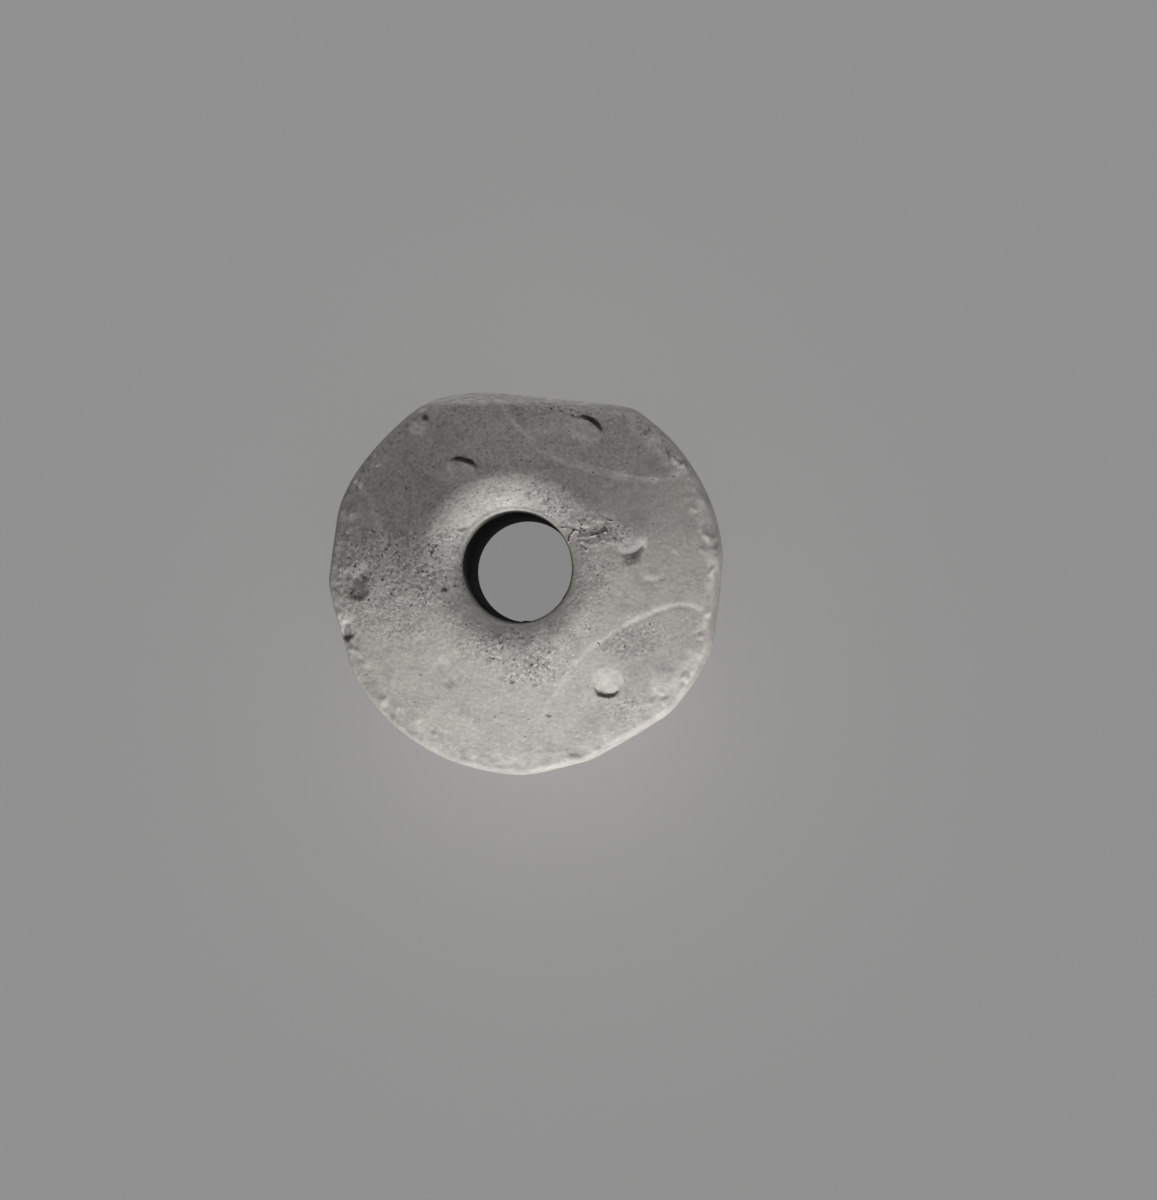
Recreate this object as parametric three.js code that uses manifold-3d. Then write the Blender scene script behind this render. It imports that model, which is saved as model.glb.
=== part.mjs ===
// Clay spindle whorl: a hand-made fired-clay weight that slides on a spindle.
// A low cone with a dished crown carries three incised arcs and a scatter of stabs.
// Below its steep shoulder a deeper, plain cone runs down to the flat base it stands on.
// Millimetres, +Z up, the middle of its outer box on the base plane at the origin.

import * as THREE from 'three';
import { mergeVertices } from 'three/addons/utils/BufferGeometryUtils.js';
import Module from 'manifold-3d';

const wasm = await Module();
wasm.setup();

// Driving dimensions of the body
const HEIGHT = 20;
const GIRTH_RADIUS = 17.76;
const GIRTH_DROP = 6.6;
const SHOULDER_INSET = 0.66;
const FACE_SLOPE = 24;
const CREST_RADIUS = 7.4;
const CREST_ROUNDING = 1.1;
const DISH_DEPTH = 0.9;
const DISH_SHALLOWEST = 0.1;
const DISH_BEARING = 115;
const DISH_SHARPNESS = 1.5;
const BASE_RADIUS = 7.7;
const BASE_ROUNDING = 0.6;
const LOWER_BULGE = 0.9;

// Driving dimensions of the bore. It runs a little off the middle of the rim, and the crest
// round it lies a little further off. The dish is deepest towards its bearing and nearly level
// across from there. Towards one side the lip is worn rounder and stands a little into the bore.
const BORE_TOP_RADIUS = 5;
const BORE_BASE_RADIUS = 4.62;
const BORE_OFFSET = new THREE.Vector2(-0.58, 0.57);
const CREST_OFFSET = new THREE.Vector2(-0.85, 1.25);
const LIP_ROUNDING = 0.4;
const LIP_WEAR = 0.5;
const LIP_OVERHANG = 0.4;
const LIP_WEAR_BEARING = 210;
const BASE_CHAMFER = 0.3;

// Flats worn or knocked off the rim: bearing in degrees from +X, depth in from the girth,
// and how much further in each one reaches at the shoulder. A flat acts within its spread.
const WORN_FLATS = [
  { bearing: 84, depth: 1.88, lean: 0.3 },
  { bearing: 96.5, depth: 1.07, lean: 0.3 },
  { bearing: 135.5, depth: 0.14, lean: 0 },
  { bearing: 172.5, depth: 0.38, lean: 0 },
  { bearing: 194.5, depth: 0.54, lean: 0 },
  { bearing: 284, depth: 0.43, lean: 0 },
  { bearing: 300, depth: 0.62, lean: 0 },
  { bearing: 353, depth: 0.41, lean: 0 },
];
const FLAT_BLEND = 0.4;
const FLAT_SPREAD = 66;

// Incised arcs, each drawn freehand from rim to rim with its belly towards the bore.
// Their places are shares of the way out to the shoulder and bearings.
const ARCS = [
  [[1.04, 99.5], [0.78, 91.5], [0.645, 76], [0.645, 58], [0.785, 38.5], [1.05, 31]],
  [[1.04, 346.5], [0.84, 349], [0.665, 341], [0.53, 318], [0.565, 296], [0.77, 277], [1.04, 272]],
  [[1.05, 151], [0.87, 154.5], [0.74, 166], [0.65, 184], [0.69, 202], [0.83, 218.5], [1.04, 224]],
];
const ARC_WIDTH = 0.75;
const ARC_DEPTH = 0.2;
const ARC_FLOOR_SHARE = 0.5;
const ARC_STEPS = 26;

// Stabs of a round, flat-ended stick pressed in at a slant: place as for the arcs, the
// bearing that the stick leant towards, its width, and how deep its low edge went
const STABS = [
  { share: 0.586, bearing: 119.6, towards: 78, width: 2.6, depth: 0.5 },
  { share: 0.766, bearing: 66.8, towards: 57, width: 3, depth: 0.5 },
  { share: 0.94, bearing: 124, towards: 60, width: 1.7, depth: 0.2 },
  { share: 0.556, bearing: 18.7, towards: 292, width: 2.6, depth: 0.5 },
  { share: 0.7, bearing: 309, towards: 268, width: 2.6, depth: 0.4 },
  { share: 0.9, bearing: 322.6, towards: 300, width: 2.1, depth: 0.25 },
  { share: 0.878, bearing: 181.9, towards: 322, width: 2.5, depth: 0.5 },
  { share: 0.955, bearing: 197, towards: 272, width: 1.5, depth: 0.4 },
  { share: 0.63, bearing: 232.5, towards: 265, width: 1.9, depth: 0.25 },
  { share: 0.94, bearing: 242, towards: 255, width: 2, depth: 0.25 },
];
const STICK_LENGTH = 5;
const STICK_EDGE = 0.2;

// How finely the round forms are faceted
const SPOKES = 96;
const FACE_ROWS = 7;
const DISH_ROWS = 3;
const LOWER_ROWS = 7;
const BORE_ROWS = 4;
const ROUND_ROWS = 4;
const STICK_SIDES = 20;
const FACE_ROW_CROWDING = 1.15;

// What follows from the driving dimensions
const GIRTH_HEIGHT = HEIGHT - GIRTH_DROP;
const CUT_CLEARANCE = 0.8;

// Smaller of two lengths, with the corner between them eased
function easedMinimum(a, b, ease) {
  const overlap = Math.max(ease - Math.abs(a - b), 0) / ease;
  return Math.min(a, b) - overlap * overlap * ease / 4;
}

// Distance from the middle out to the worn rim: up is 0 at the girth and 1 at the shoulder
function rimReach(angle, up) {
  let reach = GIRTH_RADIUS;
  for (const { bearing, depth, lean } of WORN_FLATS) {
    const turn = Math.cos(angle - THREE.MathUtils.degToRad(bearing));
    if (turn > Math.cos(THREE.MathUtils.degToRad(FLAT_SPREAD))) {
      reach = easedMinimum(reach, (GIRTH_RADIUS - depth - lean * up) / turn, FLAT_BLEND);
    }
  }
  return reach - SHOULDER_INSET * up;
}

// Height of the decorated face above any point of the plan, a cone around the crest
function faceHeight(x, y) {
  const out = Math.max(Math.hypot(x - CREST_OFFSET.x, y - CREST_OFFSET.y) - CREST_RADIUS, 0);
  const fall = Math.hypot(out, CREST_ROUNDING) - CREST_ROUNDING;
  return HEIGHT - fall * Math.tan(THREE.MathUtils.degToRad(FACE_SLOPE));
}

// A point of the face from its share of the way out to the shoulder and its bearing
function facePoint(share, bearing) {
  const angle = THREE.MathUtils.degToRad(bearing);
  const reach = share * (GIRTH_RADIUS - SHOULDER_INSET);
  const x = reach * Math.cos(angle);
  const y = reach * Math.sin(angle);
  return new THREE.Vector3(x, y, faceHeight(x, y));
}

// How much an angle faces a bearing: 1 towards it and 0 away from it
function facing(angle, bearing) {
  return (1 + Math.cos(angle - THREE.MathUtils.degToRad(bearing))) / 2;
}

// How far the lip lies below the crest, and how far it is rounded off
function lipDrop(angle) {
  const share = facing(angle, DISH_BEARING) ** DISH_SHARPNESS;
  return THREE.MathUtils.lerp(DISH_SHALLOWEST, DISH_DEPTH, share);
}

function lipRounding(angle) {
  return LIP_ROUNDING + LIP_WEAR * facing(angle, LIP_WEAR_BEARING) ** 2;
}

// Radius of the bore where its wall meets the rounded lip
function mouthRadius(angle) {
  return BORE_TOP_RADIUS - LIP_OVERHANG * facing(angle, LIP_WEAR_BEARING) ** 2;
}

// A ring of one radius and height around the bore
function boreRing(radius, height) {
  return roundRing(BORE_OFFSET, radius, height);
}

// A level ring around a middle in plan
function roundRing(middle, radius, height) {
  return (angle) => new THREE.Vector3(
    middle.x + radius * Math.cos(angle),
    middle.y + radius * Math.sin(angle),
    height,
  );
}

// The bore wall with its chamfered foot, from the base up to the rounded lip
function boreRings() {
  const rings = [boreRing(BORE_BASE_RADIUS + BASE_CHAMFER, 0)];
  const wallTop = (angle) => HEIGHT - lipDrop(angle) - lipRounding(angle);
  for (let row = 0; row <= BORE_ROWS; row += 1) {
    const share = row / BORE_ROWS;
    rings.push((angle) => {
      const radius = THREE.MathUtils.lerp(BORE_BASE_RADIUS, mouthRadius(angle), share);
      const height = THREE.MathUtils.lerp(BASE_CHAMFER, wallTop(angle), share);
      return boreRing(radius, height)(angle);
    });
  }
  for (let row = 1; row <= ROUND_ROWS; row += 1) {
    const turn = (row / ROUND_ROWS) * Math.PI / 2;
    rings.push((angle) => {
      const radius = mouthRadius(angle) + lipRounding(angle) * (1 - Math.cos(turn));
      const height = wallTop(angle) + lipRounding(angle) * Math.sin(turn);
      return boreRing(radius, height)(angle);
    });
  }
  return rings;
}

// The dished crown, from the lip out to the crest
function dishRings() {
  const rings = [];
  for (let row = 1; row <= DISH_ROWS; row += 1) {
    const share = row / DISH_ROWS;
    const middle = BORE_OFFSET.clone().lerp(CREST_OFFSET, share);
    rings.push((angle) => {
      const lipEdge = mouthRadius(angle) + lipRounding(angle);
      const radius = THREE.MathUtils.lerp(lipEdge, CREST_RADIUS, share);
      const height = HEIGHT - lipDrop(angle) * (1 - share) ** 2;
      return roundRing(middle, radius, height)(angle);
    });
  }
  return rings;
}

// The decorated face, from just outside the crest to the shoulder
function faceRings() {
  const rings = [];
  for (let row = 1; row <= FACE_ROWS; row += 1) {
    const share = (row / FACE_ROWS) ** FACE_ROW_CROWDING;
    rings.push((angle) => {
      const inner = roundRing(CREST_OFFSET, CREST_RADIUS, HEIGHT)(angle);
      const reach = rimReach(angle, 1);
      const x = THREE.MathUtils.lerp(inner.x, reach * Math.cos(angle), share);
      const y = THREE.MathUtils.lerp(inner.y, reach * Math.sin(angle), share);
      return new THREE.Vector3(x, y, faceHeight(x, y));
    });
  }
  return rings;
}

// The girth itself, below the steep shoulder
function girthRing(angle) {
  const reach = rimReach(angle, 0);
  return new THREE.Vector3(reach * Math.cos(angle), reach * Math.sin(angle), GIRTH_HEIGHT);
}

// The plain lower cone, swelling a little between the girth and the base, then the base edge
function lowerRings() {
  const rings = [];
  const foot = BASE_RADIUS + BASE_ROUNDING;
  for (let row = 1; row <= LOWER_ROWS; row += 1) {
    const share = row / LOWER_ROWS;
    const swell = LOWER_BULGE * Math.sin(Math.PI * share);
    const height = THREE.MathUtils.lerp(GIRTH_HEIGHT, BASE_ROUNDING, share);
    rings.push((angle) => {
      const reach = Math.min(THREE.MathUtils.lerp(GIRTH_RADIUS, foot, share) + swell, rimReach(angle, 0));
      const x = reach * Math.cos(angle) + BORE_OFFSET.x * share;
      const y = reach * Math.sin(angle) + BORE_OFFSET.y * share;
      return new THREE.Vector3(x, y, height);
    });
  }
  rings.push(boreRing(BASE_RADIUS + BASE_ROUNDING / 2, BASE_ROUNDING / 4));
  rings.push(boreRing(BASE_RADIUS, 0));
  return rings;
}

// A solid from closed loops of points, each loop joined to the next
function solidFromLoops(loops, joinEnds) {
  const count = loops[0].length;
  const positions = loops.flat().flatMap((point) => point.toArray());
  const indices = [];
  const bands = joinEnds ? loops.length : loops.length - 1;
  for (let band = 0; band < bands; band += 1) {
    const here = band * count;
    const next = ((band + 1) % loops.length) * count;
    for (let step = 0; step < count; step += 1) {
      const along = (step + 1) % count;
      indices.push(here + step, next + step, next + along, here + step, next + along, here + along);
    }
  }
  if (!joinEnds) {
    const last = (loops.length - 1) * count;
    for (let step = 1; step < count - 1; step += 1) {
      indices.push(0, step, step + 1, last, last + step + 1, last + step);
    }
  }
  return new wasm.Manifold(new wasm.Mesh({
    numProp: 3,
    vertProperties: new Float32Array(positions),
    triVerts: new Uint32Array(indices),
  }));
}

// The whorl before it was decorated: loops run up the bore and back down the outside
function plainBody() {
  const rings = [...boreRings(), ...dishRings(), ...faceRings(), girthRing, ...lowerRings()];
  const loops = rings.map((ring) => {
    const loop = [];
    for (let spoke = 0; spoke < SPOKES; spoke += 1) {
      loop.push(ring(spoke / SPOKES * 2 * Math.PI));
    }
    return loop;
  });
  return solidFromLoops(loops, true);
}

// The clay that one incised arc takes away: a groove with slanting sides that follows the face
function arcCut(places) {
  const plan = places.map(([share, bearing]) => facePoint(share, bearing).setZ(0));
  const path = new THREE.CatmullRomCurve3(plan, false, 'centripetal');
  const half = ARC_WIDTH / 2;
  const floor = half * ARC_FLOOR_SHARE;
  const section = [
    [-half, CUT_CLEARANCE],
    [-half, 0],
    [-floor, -ARC_DEPTH],
    [floor, -ARC_DEPTH],
    [half, 0],
    [half, CUT_CLEARANCE],
  ];
  const loops = [];
  for (let step = 0; step <= ARC_STEPS; step += 1) {
    const point = path.getPointAt(step / ARC_STEPS);
    const along = path.getTangentAt(step / ARC_STEPS);
    const surface = faceHeight(point.x, point.y);
    loops.push(section.map(([side, up]) => new THREE.Vector3(
      point.x + along.y * side,
      point.y - along.x * side,
      surface + up,
    )));
  }
  return solidFromLoops(loops, false);
}

// The clay that one stab pushes aside: the slanting end of the stick, whose high edge
// just meets the face and whose low edge goes in by the depth
function stabCut({ share, bearing, towards, width, depth }) {
  const radius = width / 2;
  const middle = facePoint(share, bearing);
  const heading = THREE.MathUtils.degToRad(towards);
  const ahead = new THREE.Vector2(Math.cos(heading), Math.sin(heading)).multiplyScalar(radius);
  const low = faceHeight(middle.x + ahead.x, middle.y + ahead.y) - depth;
  const high = faceHeight(middle.x - ahead.x, middle.y - ahead.y);
  const profile = [
    new THREE.Vector2(0, 0),
    new THREE.Vector2(radius - STICK_EDGE, 0),
    new THREE.Vector2(radius, STICK_EDGE),
    new THREE.Vector2(radius, STICK_LENGTH),
    new THREE.Vector2(0, STICK_LENGTH),
  ];
  const stick = new THREE.LatheGeometry(profile, STICK_SIDES);
  stick.rotateX(Math.PI / 2);
  stick.rotateY(Math.atan2(high - low, width));
  stick.rotateZ(heading);
  stick.translate(middle.x, middle.y, (low + high) / 2);
  return solidFromGeometry(stick);
}

// A closed three.js shape as a solid that can be cut
function solidFromGeometry(geometry) {
  geometry.deleteAttribute('normal');
  geometry.deleteAttribute('uv');
  const merged = mergeVertices(geometry);
  return new wasm.Manifold(new wasm.Mesh({
    numProp: 3,
    vertProperties: new Float32Array(merged.attributes.position.array),
    triVerts: new Uint32Array(merged.index.array),
  }));
}

// A cut solid as a mesh geometry, moved so that its box stands centred over the origin
function geometryFromSolid(solid) {
  const mesh = solid.getMesh();
  const geometry = new THREE.BufferGeometry();
  geometry.setAttribute('position', new THREE.BufferAttribute(mesh.vertProperties, mesh.numProp));
  geometry.setIndex(new THREE.BufferAttribute(mesh.triVerts, 1));
  geometry.computeBoundingBox();
  const middle = geometry.boundingBox.getCenter(new THREE.Vector3());
  geometry.translate(-middle.x, -middle.y, -geometry.boundingBox.min.z);
  geometry.computeVertexNormals();
  return geometry;
}

function whorl() {
  let solid = plainBody();
  for (const places of ARCS) {
    solid = solid.subtract(arcCut(places));
  }
  for (const stab of STABS) {
    solid = solid.subtract(stabCut(stab));
  }
  const clay = new THREE.MeshStandardMaterial({ color: 0x8f8a82, roughness: 0.75, metalness: 0 });
  const mesh = new THREE.Mesh(geometryFromSolid(solid), clay);
  mesh.name = 'whorl';
  return mesh;
}

const group = new THREE.Group();
group.add(whorl());

export default group;
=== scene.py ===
"""Looks of the clay spindle whorl: worn, burnished clay on a plain pale floor.

Lengths here are in millimetres in the whorl's own plan, whose middle is the middle of the rim
before it wore. MM turns them into the frame's metres. Bearings are in degrees from the x axis
towards the y axis.
"""

import math

import bpy
import numpy as np
from mathutils import Matrix, Vector, noise


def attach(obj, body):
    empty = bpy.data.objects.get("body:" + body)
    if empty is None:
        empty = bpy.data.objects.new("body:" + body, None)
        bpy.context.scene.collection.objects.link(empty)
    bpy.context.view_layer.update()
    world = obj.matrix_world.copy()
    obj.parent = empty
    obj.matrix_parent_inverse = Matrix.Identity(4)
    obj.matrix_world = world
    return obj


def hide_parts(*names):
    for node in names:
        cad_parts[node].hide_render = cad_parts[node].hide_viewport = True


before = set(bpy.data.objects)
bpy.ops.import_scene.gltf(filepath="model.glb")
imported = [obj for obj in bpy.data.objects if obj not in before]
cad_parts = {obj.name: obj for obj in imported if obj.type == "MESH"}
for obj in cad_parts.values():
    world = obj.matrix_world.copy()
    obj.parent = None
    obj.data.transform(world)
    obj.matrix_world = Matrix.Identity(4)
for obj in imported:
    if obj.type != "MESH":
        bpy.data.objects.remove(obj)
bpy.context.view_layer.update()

MM = 0.001

# The plain form, as the solid has it
HEIGHT = 20.0
GIRTH_RADIUS = 17.76
GIRTH_DROP = 6.6
SHOULDER_INSET = 0.66
FACE_SLOPE = 24.0
CREST_RADIUS = 7.4
CREST_ROUNDING = 1.1
DISH_DEPTH = 0.9
DISH_BEARING = 115
DISH_SHALLOWEST = 0.1
DISH_SHARPNESS = 1.5
BASE_RADIUS = 7.7
BASE_ROUNDING = 0.6
LOWER_BULGE = 0.9
BORE_TOP_RADIUS = 5.0
BORE_BASE_RADIUS = 4.62
BORE_OFFSET = (-0.58, 0.57)
CREST_OFFSET = (-0.85, 1.25)
LIP_ROUNDING = 0.4
LIP_WEAR = 0.5
LIP_OVERHANG = 0.4
LIP_WEAR_BEARING = 210
BASE_CHAMFER = 0.3
GIRTH_HEIGHT = HEIGHT - GIRTH_DROP

# The shoulder band is narrower at this bearing, by this share of its width
SHOULDER_WEAR_BEARING = 235
SHOULDER_WEAR = 0.55

# Flats worn off the rim: bearing in degrees, depth at the girth, extra depth at the shoulder
WORN_FLATS = [
    (84, 1.88, 0.3),
    (96.5, 1.07, 0.3),
    (135.5, 0.14, 0),
    (172.5, 0.38, 0),
    (194.5, 0.54, 0),
    (284, 0.43, 0),
    (300, 0.62, 0),
    (353, 0.41, 0),
]
FLAT_BLEND = 0.4
FLAT_SPREAD = math.cos(math.radians(66))  # a flat counts within this angle of its bearing

# Incised arcs: share of the way out to the shoulder, bearing, and how clear the line still is
ARCS = [
    [(1.04, 99.5, 0.45), (0.87, 96.5, 0.5), (0.73, 88.5, 0.6), (0.637, 78, 0.6), (0.63, 64, 0.7),
     (0.7, 46, 0.9), (0.82, 35.5, 0.8), (0.92, 32.3, 0.6), (1.05, 32.6, 0.6)],
    [(1.04, 346.5, 0.8), (0.84, 349, 0.75), (0.665, 341, 0.75), (0.53, 318, 0.5), (0.55, 299, 0.3),
     (0.77, 277, 0.12), (1.04, 272, 0.12)],
    [(1.05, 151, 0.4), (0.87, 154.5, 0.5), (0.76, 164, 0.35), (0.65, 184, 0.25), (0.69, 202, 0.25),
     (0.83, 218.5, 0.2), (1.04, 224, 0.2)],
]
ARC_STEPS = 24

# Section of an arc: width, depth, where its side runs out in half widths, and lime in and by it
ARC_WIDTH = 0.62
ARC_DEPTH = 0.09
ARC_EASE = 1.4
ARC_LIME = 0.65
ARC_LIME_FADE = (0.3, 1.9)

# Stabs of a slanting flat-ended stick: share, bearing, leant towards, width, length over width,
# depth, grime (soil with painted shadow on the far wall, also scaling the pale floor and lip)
STABS = [
    (0.624, 119.1, 72, 2.5, 0.68, 0.5, 0.85),
    (0.823, 66.4, 55, 2.6, 0.7, 0.55, 0.9),
    (0.94, 124, 60, 1.7, 1.0, 0.15, 0.1),
    (0.571, 13.8, 295, 2.2, 0.72, 0.24, 0.1),
    (0.706, 308.1, 257, 2.4, 1.0, 0.28, 0.6),
    (0.862, 184, 322, 1.8, 1.3, 0.25, 0.1),
    (0.955, 197, 272, 1.5, 1.0, 0.28, 0.3),
]

# Shape of a stab: slope of its wall, easing at its edge, how far its floor starts above the face,
# how late the floor dips, and lime with painted highlight on its floor and near lip
STAB_WALL = math.tan(math.radians(74))
STAB_EASE = 0.2
STAB_RAISE = 0.08
STAB_BEND = 1.7
STAB_UNEVENNESS = 0.03
STAB_FLOOR_LIME_AND_HIGHLIGHT = 0.25
STAB_LIP_LIME_AND_HIGHLIGHT = 0.55

# Small knocks: plan place, radius, depth
KNOCKS = [
    ((7.7, -14.2), 1.2, 0.04),
    ((12.1, -9.8), 1.1, 0.05),
    ((-6.6, -8.6), 1.2, 0.05),
    ((-7.5, -14.6), 1.0, 0.05),
    ((16.5, 3.4), 0.9, 0.3),
    ((11.4, -0.1), 0.9, 0.12),
    ((14.0, 9.9), 0.5, 0.2),
]

# Cracks by the bore mouth, as lines in plan
CRACKS = [
    [(4.1, 2.9), (4.2, 3.35), (4.6, 3.8)],
    [(3.5, 4.1), (4.2, 4.0), (4.9, 3.8)],
    [(6.0, 3.35), (6.9, 3.6), (7.4, 3.85)],
    [(5.2, 2.45), (5.7, 2.15)],
    [(7.6, 4.75), (7.95, 4.65)],
]
CRACK_DEPTH = 0.06
CRACK_HALF_WIDTH = 0.14

# Thin raised edges left by flaking, as lines in plan
FLAKE_EDGES = [
    [(4.9, 3.05), (5.9, 2.95), (7.0, 3.2)],
    [(7.2, 5.0), (7.75, 5.1), (8.2, 4.8)],
]
FLAKE_EDGE_HEIGHT = 0.05
FLAKE_EDGE_LIME = 0.7

# Where thin layers have flaked off by the bore mouth: middle, radii, turn, softness
FLAKED = ((6.9, 3.6), 3.1, 1.3, -14, 0.35)
FLAKE_STEP = 0.05

# Unevenness of the hand-made, worn surface, greater along the far rim
WAVE_HEIGHT = 0.1
DENT_HEIGHT = 0.035
CRUMB_HEIGHT = 0.025
CRUMB_PIT_DEPTH = 0.03
RIM_BREADTH = 0.5
RIM_CHIP_DEPTH = 0.12
RIM_WEAR_DEPTH = 0.035
FAR_RIM_EXTRA = 0.8

# Rings of the modelled surface on each stretch and at each corner between stretches
SPOKES = 560
BORE_RINGS = 11
LIP_RINGS = 7
DISH_RINGS = 22
FACE_RINGS = 82
CREASE_RINGS = 6
BAND_RINGS = 9
GIRTH_RINGS = 7
LOWER_RINGS = 18
FOOT_RINGS = 5
BASE_RINGS = 6
MERGE_DISTANCE = 0.0001

# Where the corners start and end, as shares of the stretches beside them
FACE_END = 0.975
BAND_START = 0.15
BAND_END = 0.8
LOWER_START = 0.06
FOOT_REACH = 0.35

# Geometry node helpers


def new_tree(name, sockets):
    """A geometry node tree with a geometry input, the named inputs, and a geometry output."""
    tree = bpy.data.node_groups.new(name, "GeometryNodeTree")
    tree.interface.new_socket(name="Geometry", in_out="INPUT", socket_type="NodeSocketGeometry")
    for label, kind, value in sockets:
        socket = tree.interface.new_socket(name=label, in_out="INPUT", socket_type="NodeSocket" + kind)
        if value is not None:
            socket.default_value = value
    tree.interface.new_socket(name="Geometry", in_out="OUTPUT", socket_type="NodeSocketGeometry")
    return tree


def add(tree, kind, settings=None, **inputs):
    """Add a node; each input is a socket to link or a value to set, by its name or place."""
    node = tree.nodes.new(kind)
    for key, value in (settings or {}).items():
        setattr(node, key, value)
    for key, value in inputs.items():
        name = key.replace("_", " ")
        socket = node.inputs[int(key[1:])] if key[1:].isdigit() else node.inputs[name]
        if isinstance(value, bpy.types.NodeSocket):
            tree.links.new(value, socket)
        else:
            socket.default_value = value
    return node


def sum_of(tree, operation, first, second=0.0, third=0.0):
    """One step of arithmetic on numbers."""
    node = add(tree, "ShaderNodeMath", {"operation": operation}, i0=first, i1=second, i2=third)
    return node.outputs[0]


def times(tree, first, second):
    return sum_of(tree, "MULTIPLY", first, second)


def set_inputs(modifier, values):
    """Set a modifier's inputs by the identifiers of the sockets with these names."""
    for item in modifier.node_group.interface.items_tree:
        if item.item_type == "SOCKET" and item.in_out == "INPUT" and item.name in values:
            modifier[item.identifier] = values[item.name]


def finished_mesh(thing, name):
    """The evaluated object as a plain mesh of its own."""
    bpy.context.view_layer.update()
    graph = bpy.context.evaluated_depsgraph_get()
    mesh = bpy.data.meshes.new_from_object(thing.evaluated_get(graph), depsgraph=graph)
    mesh.name = name
    return mesh


def place(mesh, name):
    """Put a mesh in the scene as an object at the origin."""
    thing = bpy.data.objects.new(name, mesh)
    bpy.context.scene.collection.objects.link(thing)
    return thing


# Form of the whorl


def between(start, end, share):
    return start * (1 - share) + end * share


def eased_minimum(a, b, ease):
    """The smaller of two values, eased where they meet."""
    overlap = max(ease - abs(a - b), 0) / ease
    return min(a, b) - overlap * overlap * ease / 4


def girth_reach(angle):
    """Distance out to the worn rim at the girth."""
    reach = GIRTH_RADIUS
    for bearing, depth, _ in WORN_FLATS:
        turn = math.cos(angle - math.radians(bearing))
        if turn > FLAT_SPREAD:
            reach = eased_minimum(reach, (GIRTH_RADIUS - depth) / turn, FLAT_BLEND)
    return reach


def middle_of_rim():
    """Middle of the outer box in plan, which stands over the frame's origin."""
    turns = [math.radians(step / 4) for step in range(4 * 360)]
    across = [girth_reach(turn) * math.cos(turn) for turn in turns]
    along = [girth_reach(turn) * math.sin(turn) for turn in turns]
    return (min(across) + max(across)) / 2, (min(along) + max(along)) / 2


MIDDLE = middle_of_rim()


def to_frame(x, y, z):
    return Vector(((x - MIDDLE[0]) * MM, (y - MIDDLE[1]) * MM, z * MM))


def face_height(x, y):
    """Height of the decorated cone over a point of the plan."""
    out = np.maximum(np.hypot(x - CREST_OFFSET[0], y - CREST_OFFSET[1]) - CREST_RADIUS, 0)
    fall = np.hypot(out, CREST_ROUNDING) - CREST_ROUNDING
    return HEIGHT - fall * math.tan(math.radians(FACE_SLOPE))


def face_place(share, bearing):
    """Place in plan at a share of the way out to the shoulder."""
    reach = share * (GIRTH_RADIUS - SHOULDER_INSET)
    return reach * math.cos(math.radians(bearing)), reach * math.sin(math.radians(bearing))


def bore_ring(radius, height, crest=0.0, widen=0.0, lower=0.0, drop=0.0, mouth=0.0):
    """Recipe of a ring: own radius, shares of the two rims, shift, share of the lip's overhang,
    height, share of the face's height, and shares in which the lip's rounding widens and lowers
    the ring and the dish lowers it."""
    x, y = (between(a, b, crest) for a, b in zip(BORE_OFFSET, CREST_OFFSET))
    return np.array([radius, 0, 0, x, y, mouth, height, 0, 0, widen, lower, drop], float)


def face_ring(share):
    """Recipe of a ring of the decorated face, from the crest (0) to the shoulder (1)."""
    x, y = (offset * (1 - share) for offset in CREST_OFFSET)
    return np.array([CREST_RADIUS * (1 - share), share, 0, x, y, 0, 0, 1, 0, 0, 0, 0], float)


def lower_ring(share):
    """Recipe of a ring of the lower cone, from the girth (0) to the foot (1)."""
    swell = LOWER_BULGE * math.sin(math.pi * share)
    radius = between(GIRTH_RADIUS, BASE_RADIUS + BASE_ROUNDING, share) + swell
    height = between(GIRTH_HEIGHT, BASE_ROUNDING, share)
    x, y = (offset * share for offset in BORE_OFFSET)
    return np.array([radius, 0, 0, x, y, 0, height, 0, 0, 0, 0, 0], float)


GIRTH_RING = np.array([0, 0, 1, 0, 0, 0, GIRTH_HEIGHT, 0, 0, 0, 0, 0], float)


def eased_corner(before, corner, after, count):
    """Recipes that round a corner off between its two neighbours."""
    steps = np.linspace(0, 1, count)
    return [before * (1 - t) ** 2 + corner * 2 * t * (1 - t) + after * t * t for t in steps]


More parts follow.
